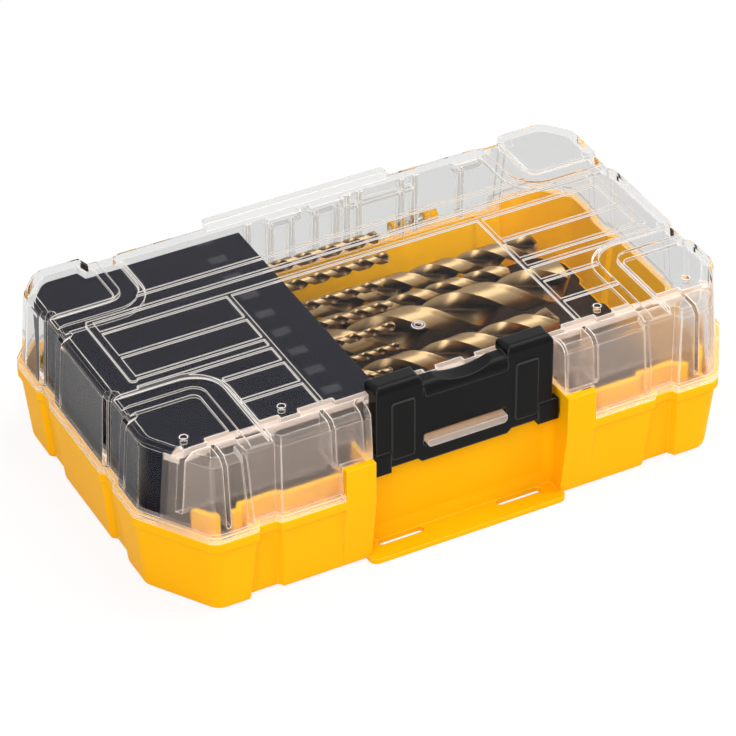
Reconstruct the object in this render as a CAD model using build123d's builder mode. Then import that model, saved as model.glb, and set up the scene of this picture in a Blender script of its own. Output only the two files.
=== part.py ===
from build123d import *
from math import cos, radians, sin
import os

os.makedirs("parts", exist_ok=True)

# Frame: millimetres, +Z up, origin on the table under the middle of the case.
# +X runs to the right along the long side, the latch faces -Y and the hinge is at +Y.

# ---- Case outline ----
longest_bit = 152.0            # the half-inch bit decides the length of the case
bit_end_room = 38.0            # left over past its two ends, outside sizes
case_width = 114.0
parting_height = 26.2          # rim of the tub
lid_top_height = 52.5
front_chamfer_x = 14.3         # corner cut, measured along the front
front_chamfer_y = 22.0         # corner cut, measured along the side
rear_chamfer_x = 9.0
rear_chamfer_y = 11.0
corner_radius = 5.0
bend_radius = 0.8              # small bends at the valleys
front_mid_setback = 0.6        # front wall between the corner bulges
rear_mid_setback = 3.2         # rear wall between the corner bulges
front_pod_length = 31.5        # from the end of the case to the middle of a valley
rear_pod_length = 31.0
valley_width = 5.0             # floor of a valley on the front and rear walls
valley_slope = 1.2             # length that its sloping flank takes
valley_depth = 2.2
rear_valley_depth = 0.6        # below the set-back middle of the rear wall
side_valley_front_setback = 40.0
side_valley_rear_setback = 30.5
side_valley_width = 7.0
side_valley_depth = 1.4

# ---- Tub ----
tub_wall = 2.0
floor_thickness = 2.2
rim_bead_height = 2.8
rim_bead_overhang = 0.8
tub_draft = 2.1                # how far the wall leans in from rim bead to floor
tub_foot_radius = 2.5

# ---- Latch recess in the front of the tub and lid ----
latch_side_gap = 2.6           # between the latch and each side of the recess
recess_depth = 10.4
recess_corner_radius = 3.0
tower_width = 9.2              # the two posts that carry the latch pivot
tower_height = 10.3            # above the rim
tower_root = 2.0               # how far posts and raised wall start below the rim
pivot_boss_wall = 1.9          # round each pivot bore
raised_wall_height = 6.5       # tub wall behind the latch, above the rim
cove_height = 5.7              # sloping foot of the recess wall, from the floor up
cove_depth = 1.2
rail_inset = 5.0               # rails that stand inside the lid at the front corners
rail_thickness = 1.6
rail_root = 3.0
rail_height = 5.8
rail_reach = 11.5
rail_notch = 3.4               # gap in a rail, for the rib of the lid
rail_web = 1.3                 # webs that tie the rails to the front wall
rail_web_end_gaps = (17.0, 27.0, 38.0, 50.0)
hang_flange_thickness = 1.6
hang_flange_setback = 1.0
hang_flange_corner = 2.4
slot_length = 14.6
slot_width = 2.5
slot_centre_x = 19.2
slot_setback = 7.7             # slot centre line behind the front of the case

# ---- Lid ----
lid_gap = 0.3                  # between lid and tub
lid_wall = 1.8
lid_flange_height = 2.0
lid_flange_overhang = 1.4
lid_draft = 1.5
lid_edge_radius = 2.8
lid_inner_bevel = 1.8
lid_top_thickness = 2.0
channel_width = 5.5            # sunk channels that join the valleys over the top
channel_depth = 1.2
channel_radius = 7.0
bead_width = 1.4               # raised stiffening beads on the top
bead_height = 0.6
bead_end_gap = 12.5            # from the end of the case to the end of a bead
cross_bead_x = 41.0
cross_bead_gap = 3.0           # behind the latch recess
bead_setbacks = (24.0, 35.2, 43.0, 47.5, 58.6)
long_bead_setbacks = (42.5, 36.5, 30.0)
end_bead_width = 2.4
end_bead_setback = 13.0
end_bead_gap = 6.0             # between the end beads and the side valleys
inner_wall_setback = 13.9      # rear face of the wall inside the front of the lid
inner_wall_bottom = 31.0
tooth_depth = 1.8              # castellations along the top of the inner wall
tooth_height = 1.9
teeth = ((10.0, 12.5), (19.5, 29.0), (35.0, 41.8), (47.8, 58.5), (78.6, 86.6), (90.9, 95.5))
pod_rib_setback = 20.2         # rib across each corner pod, from the end of the case
pod_rib_bottom = 28.6
lid_rib_thickness = 1.3
peg_radius = 1.1
peg_setback = 19.0
peg_end_gaps = (14.9, 44.6)
rear_ribs = (-18.5, -11.0, -4.0, 4.0, 11.0, 14.5, 18.5, 33.0, 37.6, 53.5)  # inside the rear wall
rear_rib_depth = 2.6
rear_rib_bottom = 30.0
rear_frame = (14.5, 37.6)         # cross rib between two of them
rear_frame_height = 45.0
rear_blocks = ((-12.5, -1.7), (1.7, 12.5), (50.5, 60.0))
rear_block_depth = 3.4
rear_block_height = 3.2
gate_radius = 1.9
gate_ring_width = 0.7
gate_ring_height = 0.3
gate_setback = 33.0
rear_flange_half_width = 30.5
rear_flange_thickness = 3.0
rear_flange_reach = 4.3
rear_flange_drop = 1.2
rear_flange_corner = 1.8

# ---- Hinge ----
hinge_setback = 1.2            # pin axis behind the rear of the case
knuckle_radius = 2.7
knuckle_arm_height = 9.0
knuckle_arm_root = 2.4         # how far the arms reach into the walls
pin_radius = 1.25
pin_clearance = 0.05
hinge_centre_x = 42.0
lid_knuckle_width = 6.0
tub_knuckle_width = 4.5
knuckle_gap = 0.4

# ---- Latch ----
latch_half_width = 28.1
latch_top_height = 57.0
latch_face_setback = 5.5
latch_plate = 1.8
latch_bottom_height = 28.9
lip_half_width = 13.7          # deeper middle of the lower edge
lip_depth = 1.3
ear_proud = 2.0                # ears with the pivot, beside the latch
ear_width = 6.5
ear_depth = 3.8
ear_step = 0.6                 # in front of the face
ear_bottom_height = 27.2
ear_top_height = 34.5
side_rib = 1.6
side_rib_lift = 3.0
latch_pivot_setback = 7.1
latch_pivot_height = 29.6
trunnion_radius = 1.4
trunnion_clearance = 0.06
trunnion_length = 4.0
hook_width = 14.7
hook_depth = 7.1
hook_root = 8.0                # solid part below the hooks
hook_slope = 0.8               # fall of the hook's top towards the rear
hook_front_radius = 2.2
hook_side_radius = 2.4
hook_rear_radius = 0.8
hook_gap = 0.3                 # under the hooks, over the lid top
latch_wall_gap = 0.4           # behind the latch, in front of the lid
band_bottom_height = 49.4      # rounded thumb band between the hooks
band_top_height = 54.3
band_proud = 0.9
band_roll = 3.0
band_corner = 2.6
dip_half_width = 9.0
dip_depth = 1.5
pad_width = 7.1
pad_raise = 0.5
pad_centre_x = 19.7
pad_bottom_height = 31.5
pad_top_height = 50.7
tongue_half_width = 12.7
tongue_height = 3.2
tongue_bottom_height = 33.2
tongue_proud = 1.8             # how far it stands through the latch
tongue_ramp = 0.8              # fall of its upper side towards the tip
tongue_corner = 1.3
tongue_clearance = 0.45
slot_corner = 0.8

# ---- Drill bits and their holder ----
holder_right_x = -21.5
holder_top_height = 48.0
holder_front_setback = 16.6
holder_wall_gap = 1.3
socket_clearance = 0.08
liner_thickness = 1.2
lower_tier_height = 20.0
upper_tier_height = 36.0
point_length_share = 0.30      # length of the conical point for each diameter

case_length = longest_bit + bit_end_room
half_length = case_length / 2
front_y = -case_width / 2
rear_y = case_width / 2
front_mid_y = front_y + front_mid_setback
rear_mid_y = rear_y - rear_mid_setback
front_valley_x = half_length - front_pod_length
rear_valley_x = half_length - rear_pod_length
side_valley_front_y = front_y + side_valley_front_setback
side_valley_rear_y = rear_y - side_valley_rear_setback
recess_y = front_y + recess_depth
recess_half_width = latch_half_width + latch_side_gap
hinge_y = rear_y + hinge_setback
hinge_z = parting_height
tower_outer_x = recess_half_width + tower_width
tower_top = parting_height + tower_height
raised_wall_top = parting_height + raised_wall_height
lid_bottom = parting_height + lid_gap
lid_edge_bottom = lid_top_height - lid_edge_radius
latch_face_y = front_y + latch_face_setback
pivot_y = front_y + latch_pivot_setback
pod_rib_x = half_length - pod_rib_setback
beyond = 1.0                   # how far cutting shapes stand out past what they cut


def case_plan(inset, bend):
    """The case seen from above: corner bulges, valleys and the set-back middles, moved in by inset."""
    near = valley_width / 2
    far = valley_width / 2 + valley_slope
    front_floor_y = front_y + valley_depth
    rear_floor_y = rear_mid_y - rear_valley_depth
    floor_x = half_length - side_valley_depth
    side_near = side_valley_width / 2
    side_far = side_valley_width / 2 + valley_slope
    right = [
        (front_valley_x - far, front_mid_y),
        (front_valley_x - near, front_floor_y),
        (front_valley_x + near, front_floor_y),
        (front_valley_x + far, front_y),
        (half_length - front_chamfer_x, front_y),
        (half_length, front_y + front_chamfer_y),
    ]
    for valley_y in (side_valley_front_y, side_valley_rear_y):
        right += [
            (half_length, valley_y - side_far),
            (floor_x, valley_y - side_near),
            (floor_x, valley_y + side_near),
            (half_length, valley_y + side_far),
        ]
    right += [
        (half_length, rear_y - rear_chamfer_y),
        (half_length - rear_chamfer_x, rear_y),
        (rear_valley_x + far, rear_y),
        (rear_valley_x + near, rear_floor_y),
        (rear_valley_x - near, rear_floor_y),
        (rear_valley_x - far, rear_mid_y),
    ]
    left = [(-x, y) for x, y in reversed(right)]
    big_corners = [right[4], right[5], right[14], right[15]]
    big_corners += [(-x, y) for x, y in big_corners]
    with BuildSketch() as plan:
        with BuildLine():
            Polyline(*right, *left, close=True)
        make_face()
        if inset:
            offset(amount=-inset, kind=Kind.INTERSECTION)
        big = [min(plan.vertices(), key=lambda v: (v.X - x) ** 2 + (v.Y - y) ** 2) for x, y in big_corners]
        small = [v for v in plan.vertices() if v not in big]
        fillet(big, corner_radius)
        if bend:
            fillet(small, bend)
    return plan.sketch


def drafted(inset_low, z_low, inset_high, z_high, bend=bend_radius):
    """A solid with the case outline, leaning from one inset at z_low to another at z_high."""
    with BuildPart() as solid:
        with BuildSketch(Plane.XY.offset(z_low)):
            add(case_plan(inset_low, bend))
        with BuildSketch(Plane.XY.offset(z_high)):
            add(case_plan(inset_high, bend))
        loft(ruled=True)
    return solid.part


def rounded_edge(inset, start_z, radius, direction):
    """Three leaning layers that round an outer edge, from start_z upwards (1) or downwards (-1)."""
    with BuildPart() as layers:
        for step in range(3):
            turns = (radians(30 * step), radians(30 * (step + 1)))
            ends = [(inset + radius * (1 - cos(a)), start_z + direction * radius * sin(a)) for a in turns]
            low, high = sorted(ends, key=lambda end: end[1])
            add(drafted(*low, *high))
    return layers.part


def recess_block(grow, z_low, z_high):
    """The space of the latch recess, grown sideways and backwards, with rounded rear corners."""
    half = recess_half_width + grow
    back_y = recess_y + grow
    open_y = front_y - recess_depth
    with BuildPart() as block:
        with BuildSketch(Plane.XY.offset(z_low)) as section:
            with Locations((0, (open_y + back_y) / 2)):
                Rectangle(2 * half, back_y - open_y)
            fillet(section.vertices().group_by(Axis.Y)[-1], recess_corner_radius)
        extrude(amount=z_high - z_low)
    return block.part


def box_between(x_low, x_high, y_low, y_high, z_low, z_high):
    """A plain block between two corners."""
    with BuildPart() as block:
        with Locations(((x_low + x_high) / 2, (y_low + y_high) / 2, (z_low + z_high) / 2)):
            Box(x_high - x_low, y_high - y_low, z_high - z_low)
    return block.part


def channel_routes(width):
    """The four channels over the lid, each from an end valley round a corner pod to a side valley."""
    with BuildSketch() as routes:
        for side in (-1, 1):
            for turn_y, end_y, valley_x in (
                (side_valley_front_y, front_y, front_valley_x),
                (side_valley_rear_y, rear_y, rear_valley_x),
            ):
                with BuildLine():
                    FilletPolyline(
                        (side * valley_x, end_y),
                        (side * valley_x, turn_y),
                        (side * half_length, turn_y),
                        radius=channel_radius,
                    )
                trace(line_width=width)
    return routes.sketch


def knuckle(centre_x, width, arm):
    """A hinge knuckle on its arm: arm lists the points where the web meets the wall, in Y and Z."""
    with BuildPart() as part:
        with BuildSketch(Plane.YZ.offset(centre_x - width / 2)):
            with Locations((hinge_y, hinge_z)):
                Circle(knuckle_radius)
            with BuildLine():
                Polyline(*arm, close=True)
            make_face()
            with Locations((hinge_y, hinge_z)):
                Circle(pin_radius + pin_clearance, mode=Mode.SUBTRACT)
        extrude(amount=width)
    return part.part


# ---- Tub: the yellow moulded lower half, with towers for the latch and a slotted flange ----
tub_inner_top_inset = rim_bead_overhang + tub_wall
tub_inner_floor_inset = tub_inner_top_inset + tub_draft
bead_bottom = parting_height - rim_bead_height
tub_foot_inset = rim_bead_overhang + tub_draft

with BuildPart() as tub_cavity:
    add(drafted(tub_inner_floor_inset, floor_thickness, tub_inner_top_inset, parting_height, bend=0))
    add(recess_block(tub_wall, 0, tower_top), mode=Mode.SUBTRACT)

rail_top = parting_height + rail_height
rail_low = parting_height - rail_root
rail_void_inset = rail_inset + rail_thickness
with BuildPart() as rails:
    add(drafted(rail_inset, rail_low, rail_inset, rail_top, bend=0))
    add(
        drafted(rail_void_inset, rail_low - beyond, rail_void_inset, rail_top + beyond, bend=0),
        mode=Mode.SUBTRACT,
    )
    add(
        box_between(-half_length, half_length, front_y, front_y + rail_reach, rail_low, rail_top),
        mode=Mode.INTERSECT,
    )
    for gap_x, gap_width in ((0, 2 * tower_outer_x - 2), (-pod_rib_x, rail_notch), (pod_rib_x, rail_notch)):
        add(
            box_between(
                gap_x - gap_width / 2,
                gap_x + gap_width / 2,
                front_y,
                front_y + rail_reach + beyond,
                rail_low - beyond,
                rail_top + beyond,
            ),
            mode=Mode.SUBTRACT,
        )

    for side in (-1, 1):
        for end_gap in rail_web_end_gaps:
            web_x = side * (half_length - end_gap)
            add(
                box_between(
                    web_x - rail_web / 2,
                    web_x + rail_web / 2,
                    front_y + rail_thickness,
                    front_y + rail_inset + rail_thickness,
                    rail_low,
                    parting_height,
                )
            )

with BuildPart() as base_tub:
    add(rounded_edge(tub_foot_inset, tub_foot_radius, tub_foot_radius, -1))
    add(drafted(tub_foot_inset, tub_foot_radius, rim_bead_overhang, bead_bottom))
    add(drafted(0, bead_bottom, 0, parting_height))
    add(recess_block(0, -beyond, tower_top + beyond), mode=Mode.SUBTRACT)
    add(tub_cavity.part, mode=Mode.SUBTRACT)
    # raised wall behind the latch
    add(
        box_between(
            -recess_half_width - tub_wall,
            recess_half_width + tub_wall,
            recess_y,
            recess_y + tub_wall,
            parting_height - tower_root,
            raised_wall_top,
        )
    )
    # sloping foot where the recess wall meets the flange
    with BuildSketch(Plane.YZ.offset(-recess_half_width)):
        with BuildLine():
            Polyline(
                (recess_y + tub_wall / 2, 0),
                (recess_y - cove_depth, 0),
                (recess_y - cove_depth, hang_flange_thickness),
                (recess_y, cove_height),
                (recess_y + tub_wall / 2, cove_height),
                close=True,
            )
        make_face()
    extrude(amount=2 * recess_half_width)
    # towers: a front plate that runs down to the foot, an inner cheek and a boss round each pivot bore
    for side in (-1, 1):
        tower_centre_x = side * (recess_half_width + tower_width / 2)
        cheek_x = side * (recess_half_width + tub_wall / 2)
        cheek_back_y = recess_y + tub_wall
        with BuildSketch(Plane.XY.offset(parting_height - tower_root)):
            with Locations((tower_centre_x, front_mid_y + tub_wall / 2)):
                Rectangle(tower_width, tub_wall)
            with Locations((cheek_x, (front_mid_y + cheek_back_y) / 2)):
                Rectangle(tub_wall, cheek_back_y - front_mid_y)
        extrude(amount=tower_height + tower_root)
        with BuildSketch(Plane.YZ.offset(side * recess_half_width)):
            with BuildLine():
                Polyline(
                    (front_mid_y, parting_height),
                    (front_mid_y, bead_bottom),
                    (front_mid_y + tub_foot_inset, tub_foot_radius),
                    (front_mid_y + tub_foot_inset + tub_wall / 2, tub_foot_radius),
                    (front_mid_y + tub_wall, parting_height),
                    close=True,
                )
            make_face()
        extrude(amount=side * tower_width)
        boss_radius = trunnion_radius + pivot_boss_wall
        with BuildSketch(Plane.YZ.offset(side * recess_half_width)):
            with Locations((pivot_y, latch_pivot_height)):
                Circle(boss_radius)
            with Locations((pivot_y, latch_pivot_height - boss_radius)):
                Rectangle(2 * boss_radius, 2 * boss_radius)
        extrude(amount=side * (tower_width - tub_wall / 2))
        with BuildSketch(Plane.YZ.offset(side * (recess_half_width - beyond))):
            with Locations((pivot_y, latch_pivot_height)):
                Circle(trunnion_radius + trunnion_clearance)
        extrude(amount=side * (tower_width + 2 * beyond), mode=Mode.SUBTRACT)
    # slotted flange along the bottom of the recess
    flange_front_y = front_y + hang_flange_setback
    flange_back_y = recess_y + tub_wall / 2
    with BuildSketch() as flange:
        with Locations((0, (flange_front_y + flange_back_y) / 2)):
            Rectangle(2 * recess_half_width + tub_wall, flange_back_y - flange_front_y)
        fillet(flange.vertices().group_by(Axis.Y)[0], hang_flange_corner)
        with Locations((-slot_centre_x, front_y + slot_setback), (slot_centre_x, front_y + slot_setback)):
            SlotOverall(slot_length, slot_width, mode=Mode.SUBTRACT)
    extrude(amount=hang_flange_thickness)
    add(rails.part)
    # hinge knuckles, two at each end of each pin
    knuckle_offset = lid_knuckle_width / 2 + knuckle_gap + tub_knuckle_width / 2
    tub_arm = [
        (hinge_y, hinge_z - knuckle_radius),
        (hinge_y - knuckle_radius, hinge_z),
        (rear_mid_y - knuckle_arm_root, hinge_z - lid_gap),
        (rear_mid_y - knuckle_arm_root, hinge_z - knuckle_arm_height),
    ]
    for group_x in (-hinge_centre_x, hinge_centre_x):
        for step in (-knuckle_offset, knuckle_offset):
            add(knuckle(group_x + step, tub_knuckle_width, tub_arm))
base_tub.part.label = "base_tub"
export_step(base_tub.part, "parts/base_tub.step")


# ---- Lid: the clear moulded upper half, with sunk channels, stiffening beads and the tongue ----
lid_wall_high_inset = lid_flange_overhang + lid_draft
lid_inner_low_inset = lid_flange_overhang + lid_wall
lid_inner_high_inset = lid_wall_high_inset + lid_wall
flange_top = lid_bottom + lid_flange_height
inner_top = lid_top_height - lid_top_thickness
inner_bevel_bottom = inner_top - lid_inner_bevel
inner_wall_y = front_y + inner_wall_setback
tooth_bottom = inner_top - tooth_height
tower_rib_x = tower_outer_x + lid_wall

# the space inside; the walls, ribs, teeth and pegs that stand in it are left out of the cut
with BuildPart() as lid_cavity:
    add(drafted(lid_inner_low_inset, lid_bottom, lid_inner_high_inset, inner_bevel_bottom, bend=0))
    add(
        drafted(
            lid_inner_high_inset,
            inner_bevel_bottom,
            lid_inner_high_inset + lid_inner_bevel,
            inner_top,
            bend=0,
        )
    )
    add(recess_block(lid_wall, 0, lid_top_height + beyond), mode=Mode.SUBTRACT)
    # the underside follows the channels, so that the top keeps its thickness
    with BuildSketch(Plane.XY.offset(inner_top - channel_depth)):
        add(channel_routes(channel_width + 2 * lid_wall))
    extrude(amount=channel_depth + beyond, mode=Mode.SUBTRACT)
    # wall right across behind the front pods, and a strip of it behind the latch
    for side_x in (-half_length, recess_half_width):
        add(
            box_between(
                side_x,
                side_x + half_length - recess_half_width,
                inner_wall_y - lid_wall,
                inner_wall_y,
                inner_wall_bottom,
                lid_top_height,
            ),
            mode=Mode.SUBTRACT,
        )
    add(
        box_between(
            -recess_half_width,
            recess_half_width,
            inner_wall_y - lid_wall,
            inner_wall_y,
            tooth_bottom,
            lid_top_height,
        ),
        mode=Mode.SUBTRACT,
    )
    # castellations and pegs behind its upper edge
    with BuildSketch(Plane.XY.offset(tooth_bottom)):
        for side in (-1, 1):
            for near, far in teeth:
                tooth_x = side * (half_length - (near + far) / 2)
                with Locations((tooth_x, inner_wall_y + tooth_depth / 2)):
                    Rectangle(far - near, tooth_depth)
            for gap in peg_end_gaps:
                with Locations((side * (half_length - gap), front_y + peg_setback)):
                    Circle(peg_radius)
    extrude(amount=tooth_height + beyond, mode=Mode.SUBTRACT)
    # ribs from the inner wall to the front wall
    for rib_x in (-pod_rib_x, -tower_rib_x, tower_rib_x, pod_rib_x):
        add(
            box_between(
                rib_x - lid_rib_thickness / 2,
                rib_x + lid_rib_thickness / 2,
                front_y,
                inner_wall_y - lid_wall / 2,
                pod_rib_bottom if abs(rib_x) == pod_rib_x else tower_top,
                lid_top_height,
            ),
            mode=Mode.SUBTRACT,
        )
    # inside the rear wall: upright ribs, a cross rib between two of them, and blocks in the upper corner
    rear_inner_y = rear_mid_y - lid_inner_high_inset
    half_rib = lid_rib_thickness / 2
    rear_block_low = inner_top - rear_block_height
    rear_forms = [(*rear_frame, rear_rib_depth, rear_frame_height, rear_frame_height + lid_rib_thickness)]
    for rib_x in rear_ribs:
        rear_forms.append((rib_x - half_rib, rib_x + half_rib, rear_rib_depth, rear_rib_bottom, inner_top))
    for low_x, high_x in rear_blocks:
        rear_forms.append((low_x, high_x, rear_block_depth, rear_block_low, inner_top))
    for low_x, high_x, depth, low_z, high_z in rear_forms:
        add(box_between(low_x, high_x, rear_inner_y - depth, rear_y, low_z, high_z), mode=Mode.SUBTRACT)

# the tongue stands through the slot of the latch; its upper side falls towards the tip
tongue_front_y = latch_face_y - tongue_proud
tongue_top = tongue_bottom_height + tongue_height
with BuildPart() as tongue:
    with BuildSketch(Plane.XZ.offset(-tongue_front_y)):
        with Locations((0, tongue_bottom_height + tongue_height / 2)):
            RectangleRounded(2 * tongue_half_width, tongue_height, tongue_corner)
    extrude(amount=tongue_front_y - recess_y - lid_wall / 2)
    with BuildSketch(Plane.YZ.offset(-tongue_half_width - beyond)):
        with BuildLine():
            Polyline(
                (tongue_front_y - beyond, tongue_top - tongue_ramp),
                (tongue_front_y, tongue_top - tongue_ramp),
                (latch_face_y + latch_plate, tongue_top),
                (latch_face_y, tongue_top + beyond),
                (tongue_front_y - beyond, tongue_top + beyond),
                close=True,
            )
        make_face()
    extrude(amount=2 * (tongue_half_width + beyond), mode=Mode.SUBTRACT)

with BuildPart() as lid:
    add(drafted(0, lid_bottom, 0, flange_top))
    add(drafted(lid_flange_overhang, flange_top, lid_wall_high_inset, lid_edge_bottom))
    add(rounded_edge(lid_wall_high_inset, lid_edge_bottom, lid_edge_radius, 1))
    # beads on the top: rows along X, two cross beads beside the middle window and one near each end
    bead_overlap = bead_height / 2
    cross_front_y = recess_y + cross_bead_gap
    cross_rear_y = rear_y - long_bead_setbacks[0]
    end_front_y = side_valley_front_y + end_bead_gap
    end_rear_y = side_valley_rear_y - end_bead_gap
    with BuildSketch(Plane.XY.offset(lid_top_height - bead_overlap)):
        for setback in long_bead_setbacks:
            with Locations((0, rear_y - setback)):
                Rectangle(2 * (half_length - bead_end_gap), bead_width)
        for side in (-1, 1):
            with Locations((side * cross_bead_x, (cross_front_y + cross_rear_y) / 2)):
                Rectangle(bead_width, cross_rear_y - cross_front_y)
            with Locations((side * (half_length - end_bead_setback), (end_front_y + end_rear_y) / 2)):
                SlotOverall(end_rear_y - end_front_y, end_bead_width, rotation=90)
            for setback in bead_setbacks:
                outer_x = half_length - bead_end_gap
                if setback < side_valley_front_setback:
                    outer_x = front_valley_x - channel_width / 2 - bead_height
                with Locations((side * (cross_bead_x + outer_x) / 2, front_y + setback)):
                    Rectangle(outer_x - cross_bead_x, bead_width)
    extrude(amount=bead_height + bead_overlap)
    # sunk channels from valley to valley round each corner pod
    with BuildSketch(Plane.XY.offset(lid_top_height - channel_depth)):
        add(channel_routes(channel_width))
    extrude(amount=channel_depth + beyond, mode=Mode.SUBTRACT)
    add(recess_block(0, 0, lid_top_height + beyond), mode=Mode.SUBTRACT)
    add(lid_cavity.part, mode=Mode.SUBTRACT)
    # room for the tub's towers and the raised wall behind the latch
    add(
        box_between(
            -tower_outer_x - lid_gap,
            tower_outer_x + lid_gap,
            front_y - beyond,
            inner_wall_y + lid_gap,
            0,
            tower_top + lid_gap,
        ),
        mode=Mode.SUBTRACT,
    )
    # the lid wall of the recess comes down to the raised wall
    add(
        box_between(
            -recess_half_width + lid_gap,
            recess_half_width - lid_gap,
            recess_y,
            recess_y + lid_wall,
            raised_wall_top + lid_gap,
            tower_top + lid_wall,
        )
    )
    # injection gate mark: a shallow ring on the top
    with BuildSketch(Plane.XY.offset(lid_top_height)):
        with Locations((0, front_y + gate_setback)):
            Circle(gate_radius)
            Circle(gate_radius - gate_ring_width, mode=Mode.SUBTRACT)
    extrude(amount=gate_ring_height)
    # flange along the rear of the top, between the corner bulges
    rear_flange_y = rear_mid_y - lid_wall_high_inset - lid_wall / 2
    with BuildSketch(Plane.XY.offset(lid_edge_bottom - rear_flange_drop)) as rear_flange:
        with Locations((0, rear_flange_y + (rear_flange_reach + lid_wall / 2) / 2)):
            Rectangle(2 * rear_flange_half_width, rear_flange_reach + lid_wall / 2)
        fillet(rear_flange.vertices().group_by(Axis.Y)[-1], rear_flange_corner)
    extrude(amount=rear_flange_thickness)
    add(tongue.part)
    # hinge knuckles, one in the middle of each pin
    lid_arm = [
        (hinge_y, hinge_z + knuckle_radius),
        (hinge_y - knuckle_radius, lid_bottom),
        (rear_mid_y - knuckle_arm_root, lid_bottom),
        (rear_mid_y - knuckle_arm_root, hinge_z + knuckle_arm_height),
    ]
    for group_x in (-hinge_centre_x, hinge_centre_x):
        add(knuckle(group_x, lid_knuckle_width, lid_arm))
lid.part.label = "lid"
export_step(lid.part, "parts/lid.step")


# ---- Latch: black moulded flap that turns on the towers, hooks over the lid and shows the tongue ----
latch_back_y = latch_face_y + latch_plate
hook_back_y = latch_face_y + hook_depth
body_back_y = recess_y - latch_wall_gap
hook_bottom = lid_top_height + hook_gap
hook_inner_x = latch_half_width - hook_width
lip_end_x = lip_half_width + lip_depth
ear_reach = latch_half_width + ear_proud

# two hooks over the front edge of the lid, rounded to the front and to the sides
with BuildPart() as hooks:
    with BuildSketch(Plane.YZ.offset(-latch_half_width)) as hook_side:
        with BuildLine():
            Polyline(
                (latch_face_y, hook_bottom - hook_root),
                (body_back_y, hook_bottom - hook_root),
                (body_back_y, hook_bottom),
                (hook_back_y, hook_bottom),
                (hook_back_y, latch_top_height - hook_slope),
                (latch_face_y, latch_top_height),
                close=True,
            )
        make_face()
        fillet(hook_side.vertices().sort_by(Axis.Y)[-1], hook_front_radius)
        fillet(hook_side.vertices().group_by(Axis.X)[-1].sort_by(Axis.Y)[-1], hook_rear_radius)
    extrude(amount=2 * latch_half_width)
    with BuildSketch(Plane.XZ.offset(-hook_back_y - beyond)) as hook_front:
        for side in (-1, 1):
            with Locations((side * (hook_inner_x + hook_width / 2), latch_top_height - hook_root)):
                Rectangle(hook_width, 2 * hook_root)
        fillet(hook_front.vertices().group_by(Axis.Y)[-1], hook_side_radius)
    extrude(amount=hook_depth + 2 * beyond, mode=Mode.INTERSECT)

# thumb band between them: a roll in side view, with a dip for the finger in front view
with BuildPart() as thumb_band:
    band_front_y = latch_face_y - band_proud
    with BuildSketch(Plane.YZ.offset(-hook_inner_x)) as band_side:
        with BuildLine():
            Polyline(
                (band_front_y, band_top_height),
                (band_front_y, band_bottom_height + band_proud),
                (latch_face_y, band_bottom_height),
                (body_back_y, band_bottom_height),
                (body_back_y, band_top_height),
                close=True,
            )
        make_face()
        fillet(band_side.vertices().group_by(Axis.X)[0].sort_by(Axis.Y)[-1], band_roll)
    extrude(amount=2 * hook_inner_x)
    with BuildSketch(Plane.XZ.offset(-body_back_y - beyond)) as band_front:
        with BuildLine():
            Polyline(
                (-dip_half_width, band_top_height),
                (-hook_inner_x, band_top_height),
                (-hook_inner_x, band_bottom_height),
                (hook_inner_x, band_bottom_height),
                (hook_inner_x, band_top_height),
                (dip_half_width, band_top_height),
            )
            ThreePointArc(
                (dip_half_width, band_top_height),
                (0, band_top_height - dip_depth),
                (-dip_half_width, band_top_height),
            )
        make_face()
        fillet(band_front.vertices().group_by(Axis.Y)[0], band_corner)
    extrude(amount=body_back_y - band_front_y + 2 * beyond, mode=Mode.INTERSECT)

with BuildPart() as latch:
    # front plate with a deeper middle
    with BuildSketch(Plane.XZ.offset(-latch_back_y)):
        with BuildLine():
            Polyline(
                (-latch_half_width, latch_bottom_height),
                (-lip_end_x, latch_bottom_height),
                (-lip_half_width, latch_bottom_height - lip_depth),
                (lip_half_width, latch_bottom_height - lip_depth),
                (lip_end_x, latch_bottom_height),
                (latch_half_width, latch_bottom_height),
                (latch_half_width, band_bottom_height + band_proud),
                (-latch_half_width, band_bottom_height + band_proud),
                close=True,
            )
        make_face()
    extrude(amount=latch_plate)
    add(hooks.part)
    add(thumb_band.part)
    for side in (-1, 1):
        # rib behind the edge of the plate
        with BuildSketch(Plane.YZ.offset(side * (latch_half_width - side_rib))):
            rib_low = latch_bottom_height + side_rib_lift
            with Locations(((latch_face_y + body_back_y) / 2, (rib_low + hook_bottom) / 2)):
                Rectangle(body_back_y - latch_face_y, hook_bottom - rib_low)
        extrude(amount=side * side_rib)
        # ear with the round stud on which the latch turns
        with BuildSketch(Plane.YZ.offset(side * (ear_reach - ear_width))) as ear:
            ear_centre_y = latch_face_y - ear_step + ear_depth / 2
            with Locations((ear_centre_y, (ear_bottom_height + ear_top_height) / 2)):
                Rectangle(ear_depth, ear_top_height - ear_bottom_height)
            fillet(ear.vertices().group_by(Axis.X)[-1], trunnion_radius)
            fillet(ear.vertices().group_by(Axis.X)[0], ear_step)
        extrude(amount=side * ear_width)
        with BuildSketch(Plane.YZ.offset(side * (ear_reach - beyond))):
            with Locations((pivot_y, latch_pivot_height)):
                Circle(trunnion_radius)
        extrude(amount=side * (trunnion_length + beyond))
        # raised pad on the face
        with BuildSketch(Plane.XZ.offset(-latch_face_y)):
            with Locations((side * pad_centre_x, (pad_bottom_height + pad_top_height) / 2)):
                RectangleRounded(pad_width, pad_top_height - pad_bottom_height, hook_rear_radius)
        extrude(amount=pad_raise)
    # slot for the tongue
    with BuildSketch(Plane.XZ.offset(-latch_back_y - beyond)):
        with Locations((0, tongue_bottom_height + tongue_height / 2)):
            RectangleRounded(
                2 * (tongue_half_width + tongue_clearance),
                tongue_height + 2 * tongue_clearance,
                slot_corner,
            )
    extrude(amount=latch_plate + 2 * beyond, mode=Mode.SUBTRACT)
latch.part.label = "latch"
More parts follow.
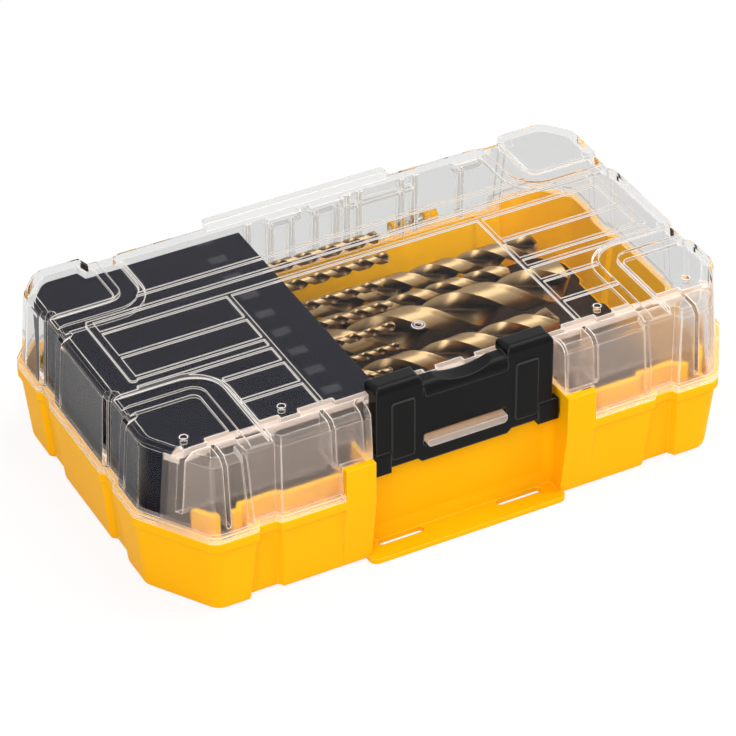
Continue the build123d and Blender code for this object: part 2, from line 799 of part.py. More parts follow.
export_step(latch.part, "parts/latch.step")


# ---- Hinge pins: steel ----
pin_length = lid_knuckle_width + 2 * (knuckle_gap + tub_knuckle_width)
for side, name in ((-1, "hinge_pin_left"), (1, "hinge_pin_right")):
    with BuildPart() as hinge_pin:
        with BuildSketch(Plane.YZ.offset(side * hinge_centre_x - pin_length / 2)):
            with Locations((hinge_y, hinge_z)):
                Circle(pin_radius)
        extrude(amount=pin_length)
    hinge_pin.part.label = name
    export_step(hinge_pin.part, f"parts/{name}.step")


# ---- Bits: diameter, length, Y of the axis and how far the point is from the right end ----
inch = 25.4
lower_tier = (
    ("bit_3_16", 3 / 16 * inch, 89.0, -27.0, 93.0),
    ("bit_7_32", 7 / 32 * inch, 95.0, -16.5, 87.0),
    ("bit_3_8", 3 / 8 * inch, 127.0, -1.7, 34.9),
    ("bit_1_2", 1 / 2 * inch, longest_bit, 16.3, 20.6),
    ("bit_1_4", 1 / 4 * inch, 102.0, 27.5, 35.0),
    ("bit_5_16", 5 / 16 * inch, 114.0, 36.5, 20.5),
)
upper_tier = (
    ("bit_1_16", 1 / 16 * inch, 48.0, -30.0, 104.0),
    ("bit_5_64", 5 / 64 * inch, 51.0, -20.0, 101.0),
    ("bit_3_32", 3 / 32 * inch, 57.0, -10.5, 93.5),
    ("bit_7_64", 7 / 64 * inch, 67.0, -1.0, 90.0),
    ("bit_1_8_a", 1 / 8 * inch, 70.0, 9.0, 85.5),
    ("bit_1_8_b", 1 / 8 * inch, 70.0, 19.5, 83.0),
    ("bit_9_64", 9 / 64 * inch, 73.0, 31.0, 75.0),
    ("bit_5_32", 5 / 32 * inch, 79.0, 42.0, 72.5),
)
bits = [(lower_tier_height, *bit) for bit in lower_tier] + [(upper_tier_height, *bit) for bit in upper_tier]


def drill_bit(radius, length, tip_x, axis_y, axis_z):
    """A bit that points to +X: a round shank and body with a conical point."""
    point = 2 * radius * point_length_share
    with BuildPart() as part:
        with BuildSketch(Plane.XZ):
            with BuildLine():
                Polyline((0, 0), (-point, radius), (-length, radius), (-length, 0), close=True)
            make_face()
        revolve(axis=Axis.X)
    return Location((tip_x, axis_y, axis_z)) * part.part


# ---- Holder: black block that grips the shanks, shaped to the left end of the case ----
holder_inset = tub_inner_floor_inset + holder_wall_gap
holder_front_y = front_y + holder_front_setback
with BuildPart() as bit_holder:
    add(drafted(holder_inset, floor_thickness, holder_inset, holder_top_height, bend=0))
    add(
        box_between(-half_length, holder_right_x, holder_front_y, rear_y, floor_thickness, holder_top_height),
        mode=Mode.INTERSECT,
    )
    for axis_z, name, diameter, length, axis_y, tip_gap in bits:
        shank_end_x = half_length - tip_gap - length
        with BuildSketch(Plane.YZ.offset(holder_right_x)):
            with Locations((axis_y, axis_z)):
                Circle(diameter / 2 + socket_clearance)
        extrude(amount=shank_end_x - holder_right_x - socket_clearance, mode=Mode.SUBTRACT)
bit_holder.part.label = "bit_holder"
export_step(bit_holder.part, "parts/bit_holder.step")

for axis_z, name, diameter, length, axis_y, tip_gap in bits:
    bit = drill_bit(diameter / 2, length, half_length - tip_gap, axis_y, axis_z)
    bit.label = name
    export_step(bit, f"parts/{name}.step")


# ---- Floor liner: dark sheet on the tub's floor, right of the holder ----
liner_top = floor_thickness + liner_thickness
liner_left_x = holder_right_x + lid_gap
with BuildPart() as floor_liner:
    add(drafted(holder_inset, floor_thickness, holder_inset, liner_top, bend=0))
    add(
        box_between(liner_left_x, half_length, holder_front_y, rear_y, floor_thickness, liner_top),
        mode=Mode.INTERSECT,
    )
floor_liner.part.label = "floor_liner"
export_step(floor_liner.part, "parts/floor_liner.step")
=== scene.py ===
import math

import bmesh
import bpy
from mathutils import Matrix, Vector


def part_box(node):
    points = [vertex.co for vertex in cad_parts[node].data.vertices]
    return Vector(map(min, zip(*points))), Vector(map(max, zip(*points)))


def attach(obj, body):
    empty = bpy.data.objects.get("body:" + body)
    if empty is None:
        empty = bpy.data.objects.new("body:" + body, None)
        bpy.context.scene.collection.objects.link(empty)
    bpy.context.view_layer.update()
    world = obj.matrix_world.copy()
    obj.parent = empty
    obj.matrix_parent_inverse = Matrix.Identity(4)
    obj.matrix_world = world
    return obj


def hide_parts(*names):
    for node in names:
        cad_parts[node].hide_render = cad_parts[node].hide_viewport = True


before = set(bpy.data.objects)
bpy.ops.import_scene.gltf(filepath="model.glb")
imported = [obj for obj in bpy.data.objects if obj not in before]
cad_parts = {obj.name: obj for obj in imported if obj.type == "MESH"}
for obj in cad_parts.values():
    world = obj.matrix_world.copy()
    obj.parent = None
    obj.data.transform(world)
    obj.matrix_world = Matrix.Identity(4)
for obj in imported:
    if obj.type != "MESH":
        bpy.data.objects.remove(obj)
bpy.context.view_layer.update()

scene = bpy.context.scene


# ---- Studio ----
# A plain pale floor under a pale sky, one broad lamp above the front left, one overhead and a weak
# one at the right. The camera stands in front of the left corner of the case and looks down at it.
floor_mesh = bpy.data.meshes.new("studio_floor")
floor_shape = bmesh.new()
floor_reach = 6.0
bmesh.ops.create_grid(floor_shape, x_segments=1, y_segments=1, size=floor_reach)
floor_shape.to_mesh(floor_mesh)
floor_shape.free()
studio_floor = bpy.data.objects.new("studio_floor", floor_mesh)
scene.collection.objects.link(studio_floor)


def reckon(tree, operation, *terms, clamp=False):
    """A Math node: sockets among its terms are linked to it and numbers are set on it."""
    node = tree.nodes.new("ShaderNodeMath")
    node.operation = operation
    node.use_clamp = clamp
    for slot, term in enumerate(terms):
        if isinstance(term, bpy.types.NodeSocket):
            tree.links.new(term, node.inputs[slot])
        else:
            node.inputs[slot].default_value = term
    return node.outputs[0]


floor_paint = bpy.data.materials.new("floor_paint")
floor_paint.use_nodes = True
tree = floor_paint.node_tree
nodes, links = tree.nodes, tree.links
nodes.clear()
floor_output = nodes.new("ShaderNodeOutputMaterial")
floor_mix = nodes.new("ShaderNodeMixShader")
floor_diffuse = nodes.new("ShaderNodeBsdfDiffuse")
floor_diffuse.inputs["Color"].default_value = (0.94, 0.94, 0.94, 1)
floor_glow = nodes.new("ShaderNodeEmission")
floor_glow.inputs["Color"].default_value = (1, 1, 1, 1)
floor_glow.inputs["Strength"].default_value = 1.0
# the glow is only for rays that look at the floor, and its paint still takes the shadow of the case
glow_share = 0.85
floor_path = nodes.new("ShaderNodeLightPath")
floor_seen = 0.0
for looking in ("Is Camera Ray", "Is Glossy Ray", "Is Transmission Ray"):
    floor_seen = reckon(tree, "MAXIMUM", floor_path.outputs[looking], floor_seen)
links.new(reckon(tree, "MULTIPLY", floor_seen, glow_share), floor_mix.inputs["Fac"])
links.new(floor_diffuse.outputs["BSDF"], floor_mix.inputs[1])
links.new(floor_glow.outputs["Emission"], floor_mix.inputs[2])
links.new(floor_mix.outputs["Shader"], floor_output.inputs["Surface"])
floor_mesh.materials.append(floor_paint)

world = bpy.data.worlds.new("studio_world")
scene.world = world
world.use_nodes = True
tree = world.node_tree
nodes, links = tree.nodes, tree.links
nodes.clear()
world_output = nodes.new("ShaderNodeOutputWorld")
world_mix = nodes.new("ShaderNodeMixShader")
sky_light = nodes.new("ShaderNodeBackground")
sky_light.inputs["Color"].default_value = (0.96, 0.98, 1.0, 1)
sky_light.inputs["Strength"].default_value = 0.46
sky_seen = nodes.new("ShaderNodeBackground")
sky_seen.inputs["Color"].default_value = (1, 1, 1, 1)
sky_seen.inputs["Strength"].default_value = 1.0
world_path = nodes.new("ShaderNodeLightPath")
world_seen = 0.0
for looking in ("Is Camera Ray", "Is Glossy Ray", "Is Transmission Ray"):
    world_seen = reckon(tree, "MAXIMUM", world_path.outputs[looking], world_seen)
links.new(world_seen, world_mix.inputs["Fac"])
links.new(sky_light.outputs["Background"], world_mix.inputs[1])
links.new(sky_seen.outputs["Background"], world_mix.inputs[2])
links.new(world_mix.outputs["Shader"], world_output.inputs["Surface"])

case_middle = Vector((0, 0, 0.025))


def soft_lamp(name, place, size, power, colour):
    """A rectangular lamp that faces the middle of the case; size in metres and power in watts."""
    lamp = bpy.data.lights.new(name, "AREA")
    lamp.shape = "RECTANGLE"
    lamp.size, lamp.size_y = size
    lamp.energy = power
    lamp.color = colour
    lamp_object = bpy.data.objects.new(name, lamp)
    lamp_object.location = place
    lamp_object.rotation_euler = (case_middle - Vector(place)).to_track_quat("-Z", "Y").to_euler()
    scene.collection.objects.link(lamp_object)


soft_lamp("key_lamp", (-0.55, -0.75, 0.95), (0.7, 0.5), 8.2, (1.0, 0.985, 0.96))
soft_lamp("top_lamp", (0.42, -0.06, 1.1), (0.8, 0.8), 7.0, (1.0, 1.0, 1.0))
soft_lamp("fill_lamp", (0.9, -0.45, 0.55), (0.5, 0.6), 3.0, (0.95, 0.97, 1.0))

camera_lens = bpy.data.cameras.new("camera")
camera_lens.lens = 173.62
camera_lens.sensor_width = 36.0
camera_lens.clip_end = 20.0
camera = bpy.data.objects.new("camera", camera_lens)
camera.location = (-0.39168, -0.74181, 0.63224)
camera.rotation_euler = (math.radians(53.9706), math.radians(0.3453), math.radians(-27.8685))
scene.collection.objects.link(camera)
scene.camera = camera
scene.view_settings.view_transform = "Standard"


# ---- Tub ----
# The lower half: yellow polypropylene, injection moulded in one piece with the latch towers,
# the slotted flange and the hinge knuckles. Its skin is satin with a very fine spark-eroded grain.
def effect_group(name, inputs, outputs):
    """An empty shader node group with its inputs, their values and its outputs."""
    group = bpy.data.node_groups.new(name, "ShaderNodeTree")
    number, direction = "NodeSocketFloat", "NodeSocketVector"
    for label, value in inputs:
        socket = group.interface.new_socket(name=label, in_out="INPUT", socket_type=number)
        socket.default_value = value
    for label in outputs:
        kind = direction if label == "Normal" else number
        group.interface.new_socket(name=label, in_out="OUTPUT", socket_type=kind)
    return group, group.nodes.new("NodeGroupInput"), group.nodes.new("NodeGroupOutput")


# fine grain of a moulded skin, and slow cloudy changes of its tone
moulded_skin, skin_in, skin_out = effect_group(
    "moulded_skin", (("Grain Size", 1400.0), ("Cloud Size", 35.0)), ("Grain", "Cloud")
)
skin_places = moulded_skin.nodes.new("ShaderNodeTexCoord")
skin_grain = moulded_skin.nodes.new("ShaderNodeTexNoise")
skin_grain.inputs["Detail"].default_value = 3.0
skin_cloud = moulded_skin.nodes.new("ShaderNodeTexNoise")
skin_cloud.inputs["Detail"].default_value = 2.0
moulded_skin.links.new(skin_places.outputs["Object"], skin_grain.inputs["Vector"])
moulded_skin.links.new(skin_places.outputs["Object"], skin_cloud.inputs["Vector"])
moulded_skin.links.new(skin_in.outputs["Grain Size"], skin_grain.inputs["Scale"])
moulded_skin.links.new(skin_in.outputs["Cloud Size"], skin_cloud.inputs["Scale"])
moulded_skin.links.new(skin_grain.outputs["Fac"], skin_out.inputs["Grain"])
moulded_skin.links.new(skin_cloud.outputs["Fac"], skin_out.inputs["Cloud"])

# 1 on a moulded edge and 0 on a flat face, with the rounded normal of that edge; the plastics paint
# their edge highlight where it is 1
soft_edges, edge_in, edge_out = effect_group(
    "soft_edges", (("Radius", 0.0006), ("Contrast", 6.0)), ("Edge", "Normal")
)
flat_limit = 0.985
edge_bevel = soft_edges.nodes.new("ShaderNodeBevel")
edge_bevel.samples = 16
edge_geometry = soft_edges.nodes.new("ShaderNodeNewGeometry")
edge_dot = soft_edges.nodes.new("ShaderNodeVectorMath")
edge_dot.operation = "DOT_PRODUCT"
soft_edges.links.new(edge_in.outputs["Radius"], edge_bevel.inputs["Radius"])
soft_edges.links.new(edge_bevel.outputs["Normal"], edge_dot.inputs[0])
soft_edges.links.new(edge_geometry.outputs["Normal"], edge_dot.inputs[1])
edge_gap = reckon(soft_edges, "SUBTRACT", flat_limit, edge_dot.outputs["Value"])
edge_gain = reckon(soft_edges, "MULTIPLY", edge_gap, edge_in.outputs["Contrast"], clamp=True)
soft_edges.links.new(edge_gain, edge_out.inputs["Edge"])
soft_edges.links.new(edge_bevel.outputs["Normal"], edge_out.inputs["Normal"])


def moulded_plastic(
    name, low, high, edge, rough, grain_depth, radius, size=1400.0, mirror=0.25, ior=1.5
):
    """A moulded plastic: its tone drifts from low to high, its rounded edges get the edge tone as a
    painted highlight, and fine grain breaks its gloss between the two roughnesses. Depth and radius
    are in metres."""
    plastic = bpy.data.materials.new(name)
    plastic.use_nodes = True
    tree = plastic.node_tree
    skin = tree.nodes["Principled BSDF"]
    skin.inputs["Specular IOR Level"].default_value = mirror
    skin.inputs["IOR"].default_value = ior
    grain = tree.nodes.new("ShaderNodeGroup")
    grain.node_tree = moulded_skin
    grain.inputs["Grain Size"].default_value = size
    edges = tree.nodes.new("ShaderNodeGroup")
    edges.node_tree = soft_edges
    edges.inputs["Radius"].default_value = radius
    drift = tree.nodes.new("ShaderNodeMix")
    drift.data_type = "RGBA"
    drift.inputs[6].default_value = (*low, 1)
    drift.inputs[7].default_value = (*high, 1)
    # painted highlight: the rounded edges are painted the lighter edge tone
    lit = tree.nodes.new("ShaderNodeMix")
    lit.name = "tone"
    lit.data_type = "RGBA"
    lit.inputs[7].default_value = (*edge, 1)
    gloss = tree.nodes.new("ShaderNodeMapRange")
    gloss.inputs["To Min"].default_value = rough[0]
    gloss.inputs["To Max"].default_value = rough[1]
    bump = tree.nodes.new("ShaderNodeBump")
    bump.inputs["Strength"].default_value = 0.35
    bump.inputs["Distance"].default_value = grain_depth
    tree.links.new(grain.outputs["Cloud"], drift.inputs["Factor"])
    tree.links.new(drift.outputs[2], lit.inputs[6])
    tree.links.new(edges.outputs["Edge"], lit.inputs["Factor"])
    tree.links.new(lit.outputs[2], skin.inputs["Base Color"])
    tree.links.new(grain.outputs["Grain"], gloss.inputs["Value"])
    tree.links.new(gloss.outputs["Result"], skin.inputs["Roughness"])
    tree.links.new(grain.outputs["Grain"], bump.inputs["Height"])
    tree.links.new(edges.outputs["Normal"], bump.inputs["Normal"])
    tree.links.new(bump.outputs["Normal"], skin.inputs["Normal"])
    return plastic


def finish_node(name, material):
    """Gives a carried-over solid its material."""
    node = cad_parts[name]
    node.data.materials.clear()
    node.data.materials.append(material)


# the edge tone is a painted highlight along the tub's rounded edges
tub_yellow = moulded_plastic(
    "tub_yellow",
    low=(0.93, 0.44, 0.002), high=(0.955, 0.47, 0.003), edge=(1.0, 0.58, 0.02),
    rough=(0.36, 0.48), grain_depth=0.00003, radius=0.0008, mirror=0.4, ior=1.12,
)
finish_node("base_tub", tub_yellow)


# ---- Lid ----
# The upper half: clear polycarbonate with sunk channels and raised beads, polished outside. Its
# edges, the crown of the inner wall, the tongue and the lower flange are painted pale as painted
# highlights. The mould leaves the inside of the front wall and its ribs matt.
lid_clear = bpy.data.materials.new("lid_clear")
lid_clear.use_nodes = True
tree = lid_clear.node_tree
clear_skin = tree.nodes["Principled BSDF"]
clear_skin.inputs["Base Color"].default_value = (0.82, 0.823, 0.82, 1)
clear_skin.inputs["Metallic"].default_value = 0.0
clear_skin.inputs["Transmission Weight"].default_value = 1.0
clear_skin.inputs["IOR"].default_value = 1.13
clear_skin.inputs["Specular IOR Level"].default_value = 0.4
lid_places = tree.nodes.new("ShaderNodeTexCoord")
lid_axes = tree.nodes.new("ShaderNodeSeparateXYZ")
tree.links.new(lid_places.outputs["Object"], lid_axes.inputs[0])
lid_x, lid_y, lid_z = lid_axes.outputs

# 1 on the matt inside of the front pods, up to the underside of the top, and 0 elsewhere
wall_draft, wall_inside, pod_back, top_underside = 0.07, -0.05717, -0.0408, 0.0503
inside_lean = reckon(tree, "MULTIPLY_ADD", lid_z, -wall_draft, lid_y)
inside_depth = reckon(
    tree, "MULTIPLY",
    reckon(tree, "GREATER_THAN", inside_lean, wall_inside),
    reckon(tree, "LESS_THAN", lid_y, pod_back),
)
below_top = reckon(tree, "LESS_THAN", lid_z, top_underside)
matt_inside = reckon(tree, "MULTIPLY", inside_depth, below_top)

# 1 on the castellated upper end of the inner wall, which is painted pale as a painted highlight
crown_y, crown_z, crown_thick, crown_high = -0.0432, 0.0493, 0.0042, 0.0022
crown = reckon(
    tree, "MULTIPLY",
    reckon(tree, "COMPARE", lid_y, crown_y, crown_thick / 2),
    reckon(tree, "COMPARE", lid_z, crown_z, crown_high / 2),
)

# 1 on the tongue that stands through the latch, which is painted pale as a painted highlight
tongue_root, tongue_z, tongue_high, tongue_wide = -0.0476, 0.0348, 0.0038, 0.026
tongue_end = reckon(
    tree, "MULTIPLY",
    reckon(tree, "LESS_THAN", lid_y, tongue_root),
    reckon(tree, "COMPARE", lid_z, tongue_z, tongue_high / 2),
)
tongue = reckon(tree, "MULTIPLY", tongue_end, reckon(tree, "COMPARE", lid_x, 0.0, tongue_wide / 2))

# 1 on the flange round its lower rim, which is painted pale as a painted highlight band
flange_top = 0.0285
rim = reckon(tree, "LESS_THAN", lid_z, flange_top)

# 1 on a moulded edge and 0 on a flat face; there the edge is painted pale as a painted highlight: a
# narrow bright line, and a wide soft band round it
lid_geometry = tree.nodes.new("ShaderNodeNewGeometry")
lid_edges = []
for radius, samples, start, gain in ((0.00045, 16, 0.985, 16.0), (0.0015, 8, 0.98, 3.5)):
    lid_bevel = tree.nodes.new("ShaderNodeBevel")
    lid_bevel.samples = samples
    lid_bevel.inputs["Radius"].default_value = radius
    lid_dot = tree.nodes.new("ShaderNodeVectorMath")
    lid_dot.operation = "DOT_PRODUCT"
    tree.links.new(lid_bevel.outputs["Normal"], lid_dot.inputs[0])
    tree.links.new(lid_geometry.outputs["Normal"], lid_dot.inputs[1])
    lid_gap = reckon(tree, "SUBTRACT", start, lid_dot.outputs["Value"])
    lid_edges.append(reckon(tree, "MULTIPLY", lid_gap, gain, clamp=True))

clear_rough = tree.nodes.new("ShaderNodeMapRange")
clear_rough.inputs["To Min"].default_value = 0.02
clear_rough.inputs["To Max"].default_value = 0.36
tree.links.new(matt_inside, clear_rough.inputs["Value"])
tree.links.new(clear_rough.outputs["Result"], clear_skin.inputs["Roughness"])

# the edges are painted warm white as painted highlight; the matt inside is painted peach, a real
# frosted veil with a painted warm reflection of the yellow tub
pale_tone = tree.nodes.new("ShaderNodeMix")
pale_tone.data_type = "RGBA"
pale_tone.inputs[6].default_value = (0.97, 0.91, 0.85, 1)
pale_tone.inputs[7].default_value = (0.9, 0.75, 0.66, 1)
tree.links.new(matt_inside, pale_tone.inputs["Factor"])
pale_scatter = tree.nodes.new("ShaderNodeBsdfTranslucent")
pale_face = tree.nodes.new("ShaderNodeBsdfDiffuse")
pale_mix = tree.nodes.new("ShaderNodeMixShader")
pale_mix.inputs["Fac"].default_value = 0.7
tree.links.new(pale_tone.outputs[2], pale_scatter.inputs["Color"])
tree.links.new(pale_tone.outputs[2], pale_face.inputs["Color"])
tree.links.new(pale_scatter.outputs["BSDF"], pale_mix.inputs[1])
tree.links.new(pale_face.outputs["BSDF"], pale_mix.inputs[2])

# how much of each place is painted pale: painted highlights on the edges, crown, tongue and flange,
# and the veil of the matt inside
pale_share = 0.0
for zone, share in (
    (lid_edges[0], 0.95), (lid_edges[1], 0.42), (crown, 0.7),
    (tongue, 0.22), (rim, 0.22), (matt_inside, 0.105),
):
    pale_share = reckon(tree, "MAXIMUM", reckon(tree, "MULTIPLY", zone, share), pale_share)

# light caught inside a wall, and light from a lamp, goes straight on: a ray is caught once it has
# met clear walls more than twice, and a dull surface outweighs all of them
most_clear_hits, dull_hit = 2.5, -9.0
lid_path = tree.nodes.new("ShaderNodeLightPath")
straight_on = tree.nodes.new("ShaderNodeBsdfTransparent")
straight_on.inputs["Color"].default_value = (0.9, 0.9, 0.895, 1)
dull_hits, all_hits = lid_path.outputs["Diffuse Depth"], lid_path.outputs["Ray Depth"]
clear_hits = reckon(tree, "MULTIPLY_ADD", dull_hits, dull_hit, all_hits)
clear_mix = tree.nodes.new("ShaderNodeMixShader")
tree.links.new(reckon(tree, "GREATER_THAN", clear_hits, most_clear_hits), clear_mix.inputs["Fac"])
tree.links.new(clear_skin.outputs["BSDF"], clear_mix.inputs[1])
tree.links.new(straight_on.outputs["BSDF"], clear_mix.inputs[2])
lid_mix = tree.nodes.new("ShaderNodeMixShader")
tree.links.new(pale_share, lid_mix.inputs["Fac"])
tree.links.new(clear_mix.outputs["Shader"], lid_mix.inputs[1])
tree.links.new(pale_mix.outputs["Shader"], lid_mix.inputs[2])
lamp_mix = tree.nodes.new("ShaderNodeMixShader")
tree.links.new(lid_path.outputs["Is Shadow Ray"], lamp_mix.inputs["Fac"])
tree.links.new(lid_mix.outputs["Shader"], lamp_mix.inputs[1])
tree.links.new(straight_on.outputs["BSDF"], lamp_mix.inputs[2])
tree.links.new(lamp_mix.outputs["Shader"], tree.nodes["Material Output"].inputs["Surface"])
finish_node("lid", lid_clear)


# ---- Latch ----
# A black nylon flap, moulded in one piece with the two studs on which it turns in the tub's towers.
# It snaps over the front of the lid, and the lid's tongue stands through its slot.
# the edge tone is a painted highlight along the latch's rounded edges and pad outlines
latch_black = moulded_plastic(
    "latch_black",
    low=(0.0012, 0.0012, 0.0012), high=(0.0024, 0.0024, 0.0024), edge=(0.04, 0.04, 0.038),
    rough=(0.26, 0.36), grain_depth=0.00003, radius=0.0009, mirror=0.13,
)
finish_node("latch", latch_black)


# ---- Hinge pins ----
# Two pins cut from drawn steel wire. They are pressed into the tub's knuckles behind the case, and
# the lid's knuckles turn on them.

# fine lines that drawing or grinding leaves along X, as the numbers of lines in a metre
metal_lines, lines_in, lines_out = effect_group(
    "metal_lines", (("Along", 40.0), ("Across", 900.0)), ("Lines",)
)
lines_place = metal_lines.nodes.new("ShaderNodeTexCoord")
lines_count = metal_lines.nodes.new("ShaderNodeCombineXYZ")
lines_stretch = metal_lines.nodes.new("ShaderNodeVectorMath")
lines_stretch.operation = "MULTIPLY"
lines_noise = metal_lines.nodes.new("ShaderNodeTexNoise")
lines_noise.inputs["Scale"].default_value = 1.0
metal_lines.links.new(lines_in.outputs["Along"], lines_count.inputs["X"])
metal_lines.links.new(lines_in.outputs["Across"], lines_count.inputs["Y"])
metal_lines.links.new(lines_in.outputs["Across"], lines_count.inputs["Z"])
metal_lines.links.new(lines_place.outputs["Object"], lines_stretch.inputs[0])
metal_lines.links.new(lines_count.outputs["Vector"], lines_stretch.inputs[1])
metal_lines.links.new(lines_stretch.outputs["Vector"], lines_noise.inputs["Vector"])
metal_lines.links.new(lines_noise.outputs["Fac"], lines_out.inputs["Lines"])


def lined_metal(name, along, across, low, high, rough):
    """A bright metal whose tone and roughness follow its lines."""
    metal = bpy.data.materials.new(name)
    metal.use_nodes = True
    tree = metal.node_tree
    skin = tree.nodes["Principled BSDF"]
    skin.inputs["Metallic"].default_value = 1.0
    lines = tree.nodes.new("ShaderNodeGroup")
    lines.node_tree = metal_lines
    lines.inputs["Along"].default_value = along
    lines.inputs["Across"].default_value = across
    tone = tree.nodes.new("ShaderNodeMix")
    tone.name = "tone"
    tone.data_type = "RGBA"
    tone.inputs[6].default_value = (*low, 1)
    tone.inputs[7].default_value = (*high, 1)
    gloss = tree.nodes.new("ShaderNodeMapRange")
    gloss.inputs["To Min"].default_value = rough[0]
    gloss.inputs["To Max"].default_value = rough[1]
    tree.links.new(lines.outputs["Lines"], tone.inputs["Factor"])
    tree.links.new(lines.outputs["Lines"], gloss.inputs["Value"])
    tree.links.new(tone.outputs[2], skin.inputs["Base Color"])
    tree.links.new(gloss.outputs["Result"], skin.inputs["Roughness"])
    return metal


pin_steel = lined_metal(
    "pin_steel", along=40, across=900,
    low=(0.5, 0.5, 0.5), high=(0.68, 0.68, 0.67), rough=(0.22, 0.4),
)
finish_node("hinge_pin_left", pin_steel)
finish_node("hinge_pin_right", pin_steel)


# ---- Bit holder ----
# A black moulded block, fixed at the left end of the tub, that grips the shanks of the bits. The
# small paler fields in a row on its top are where sizes are marked; they are left blank.
# the edge tone is a painted highlight along the holder's rounded edges
holder_black = moulded_plastic(
    "holder_black",
    low=(0.004, 0.004, 0.009), high=(0.007, 0.007, 0.014), edge=(0.02, 0.02, 0.03),
    rough=(0.42, 0.52), grain_depth=0.00002, radius=0.0006, mirror=0.08,
)
row_x, row_wide, near_top = -0.0331, 0.0054, 0.0479
first_field, field_pitch, field_long = -0.0344, 0.0103, 0.0034
tree = holder_black.node_tree
holder_places = tree.nodes.new("ShaderNodeTexCoord")
holder_axes = tree.nodes.new("ShaderNodeSeparateXYZ")
tree.links.new(holder_places.outputs["Object"], holder_axes.inputs[0])
holder_x, holder_y, holder_z = holder_axes.outputs
field_row = reckon(tree, "COMPARE", holder_x, row_x, row_wide / 2)
field_top = reckon(tree, "MULTIPLY", field_row, reckon(tree, "GREATER_THAN", holder_z, near_top))
along_row = reckon(tree, "SUBTRACT", holder_y, first_field)
field_step = reckon(tree, "PINGPONG", along_row, field_pitch / 2)
fields = reckon(tree, "MULTIPLY", field_top, reckon(tree, "LESS_THAN", field_step, field_long / 2))
field_tone = tree.nodes.new("ShaderNodeMix")
field_tone.data_type = "RGBA"
field_tone.inputs[7].default_value = (0.032, 0.032, 0.04, 1)
tree.links.new(tree.nodes["tone"].outputs[2], field_tone.inputs[6])
tree.links.new(fields, field_tone.inputs["Factor"])
tree.links.new(field_tone.outputs[2], tree.nodes["Principled BSDF"].inputs["Base Color"])
finish_node("bit_holder", holder_black)


# ---- Floor liner ----
# A sheet of dark foam rubber, cut to the floor of the tub and laid in it, so that the bits do not
# rattle. Its skin is matt, with a coarser grain than the moulded pieces have. Its brownish red
# tone is partly painted: a painted warm reflection of the yellow walls on the dark sheet.
# the warm tint is a painted reflection of the yellow tub, and the edge tone is a painted highlight
liner_dark = moulded_plastic(
    "liner_dark",
    low=(0.015, 0.008, 0.0065), high=(0.026, 0.014, 0.012), edge=(0.04, 0.024, 0.02),
    rough=(0.6, 0.8), grain_depth=0.00012, radius=0.0003, size=900.0,
)
finish_node("floor_liner", liner_dark)


# ---- Drill bits ----
# Twist bits of high-speed steel with a gold titanium nitride coat: plain shank, two spiral flutes
# and a ground point. Their shanks are pushed into the holder.
bit_gold = lined_metal(
    "bit_gold", along=500, across=2600,
    low=(0.41, 0.27, 0.131), high=(0.54, 0.377, 0.205), rough=(0.28, 0.4),
)
tree = bit_gold.node_tree
# painted shade: the gold is painted darker towards the core of each flute, where shade falls
flute_place = tree.nodes.new("ShaderNodeAttribute")
flute_place.attribute_name = "flute_depth"
flute_shade = tree.nodes.new("ShaderNodeMapRange")
flute_shade.interpolation_type = "SMOOTHSTEP"
flute_shade.inputs["From Min"].default_value = 0.1
flute_shade.inputs["From Max"].default_value = 0.85
painted_flute_shade = tree.nodes.new("ShaderNodeMix")
painted_flute_shade.data_type = "RGBA"
painted_flute_shade.inputs[7].default_value = (0.06, 0.034, 0.018, 1)
tree.links.new(flute_place.outputs["Fac"], flute_shade.inputs["Value"])
tree.links.new(flute_shade.outputs["Result"], painted_flute_shade.inputs["Factor"])
tree.links.new(tree.nodes["tone"].outputs[2], painted_flute_shade.inputs[6])
tree.links.new(painted_flute_shade.outputs[2], tree.nodes["Principled BSDF"].inputs["Base Color"])

margin_end, land_end = 0.06, 0.42
land_radius, flute_cut = 0.965, 0.7


def flute_radius(angle):
    """Share of the bit's radius at an angle round its section. Each half turn has a narrow margin,
    a land just under it, and a flute."""
    turn = (math.degrees(angle) % 180.0) / 180.0
    if turn < margin_end:
        return 1.0
    if turn < land_end:
        return land_radius
    depth = math.sin(math.pi * (turn - land_end) / (1.0 - land_end))
    return 1.0 - flute_cut * depth ** 0.75


def grown_ring(shape, edges):
    """Extrudes an open end of a bit and gives the corners and the edges of its new end."""
    grown = bmesh.ops.extrude_edge_only(shape, edges=edges)["geom"]
    corners = [part for part in grown if isinstance(part, bmesh.types.BMVert)]
    return corners, [part for part in grown if isinstance(part, bmesh.types.BMEdge)]


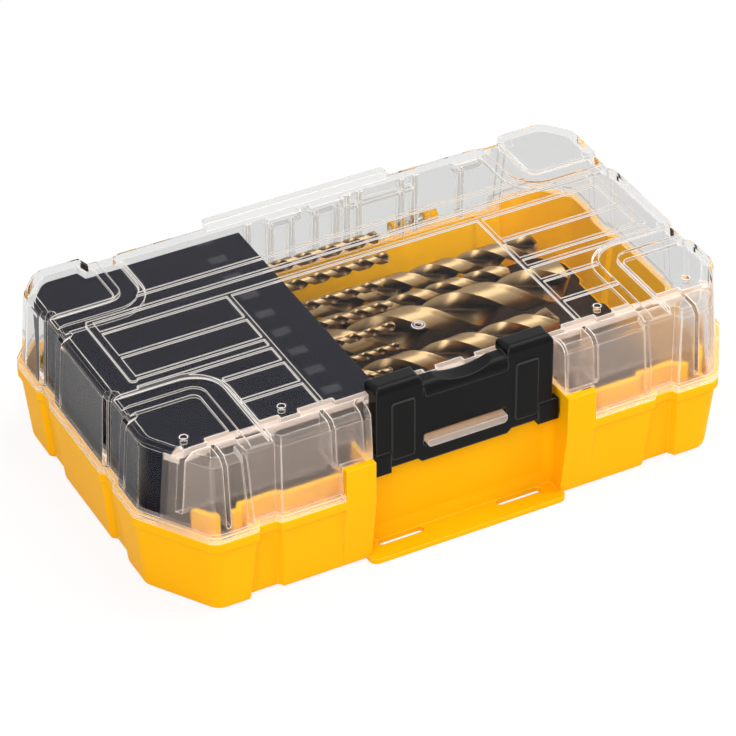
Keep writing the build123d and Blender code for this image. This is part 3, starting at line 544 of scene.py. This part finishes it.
def twist_bit(node, flute_share=0.68, pitch_share=4.2):
    """Makes the bit of one node: a fluted section that turns as it goes along, a point and a shank.
    flute_share is of the bit's length, and pitch_share is one turn's length in diameters."""
    low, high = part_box(node)
    radius = (high.y - low.y) / 2
    axis_y, axis_z = (high.y + low.y) / 2, (high.z + low.z) / 2
    point = radius * 0.6
    chisel_edge = 0.08
    run_out = radius * 1.6
    chamfer, butt_end = radius * 0.25, 0.82
    flute_length = (high.x - low.x) * flute_share
    turns = flute_length / (2 * radius * pitch_share)
    steps_a_turn, fewest_steps = 30, 24
    steps = max(fewest_steps, int(turns * steps_a_turn))
    shape = bmesh.new()
    ring = bmesh.ops.create_circle(shape, segments=48, radius=radius)["verts"]
    for corner in ring:
        corner.co.xy *= flute_radius(math.atan2(corner.co.y, corner.co.x))
    step_move = (flute_length - point) / steps
    bmesh.ops.spin(
        shape, geom=list(shape.edges) + ring, cent=(0, 0, 0), axis=(0, 0, 1),
        dvec=(0, 0, step_move), angle=turns * math.tau, steps=steps,
    )
    open_edges = [edge for edge in shape.edges if edge.is_boundary]
    back = [edge for edge in open_edges if edge.verts[0].co.z < step_move / 2]
    front = [edge for edge in open_edges if edge.verts[0].co.z > step_move / 2]
    # the point: the front ring drawn in towards the axis
    tip, front = grown_ring(shape, front)
    for corner in tip:
        corner.co.xy *= chisel_edge
        corner.co.z += point
    bmesh.ops.contextual_create(shape, geom=front)
    # the run-out of the flutes, the plain shank, and the chamfer at its butt end
    shank_length = (high.x - low.x) - flute_length - run_out
    for move, share in ((run_out, 1.0), (shank_length - chamfer, 1.0), (chamfer, butt_end)):
        corners, back = grown_ring(shape, back)
        for corner in corners:
            corner.co.z -= move
            corner.co.xy *= radius * share / corner.co.xy.length
    bmesh.ops.contextual_create(shape, geom=back)
    bmesh.ops.recalc_face_normals(shape, faces=shape.faces)
    # how deep each place lies in a flute, from 0 on a land to 1 at the core, which sets the painted
    # shade in the flutes
    depth = shape.verts.layers.float.new("flute_depth")
    for corner in shape.verts:
        inside = -run_out <= corner.co.z <= flute_length - point + step_move / 2
        corner[depth] = (1.0 - corner.co.xy.length / radius) / flute_cut if inside else 0.0
    # lay it along X with its point at the right
    lay_down = Matrix.Rotation(math.pi / 2, 4, "Y")
    carry_over = Matrix.Translation((high.x - flute_length, axis_y, axis_z))
    bmesh.ops.transform(shape, matrix=carry_over @ lay_down, verts=shape.verts)
    for face in shape.faces:
        face.smooth = True
    mesh = bpy.data.meshes.new("twist_" + node)
    shape.to_mesh(mesh)
    shape.free()
    crease = math.radians(38)
    mesh.set_sharp_from_angle(angle=crease)
    mesh.materials.append(bit_gold)
    bit = bpy.data.objects.new("twist_" + node, mesh)
    scene.collection.objects.link(bit)
    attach(bit, "tub")
    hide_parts(node)


for bit_name in sorted(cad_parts):
    if bit_name.startswith("bit_") and bit_name != "bit_holder":
        twist_bit(bit_name)
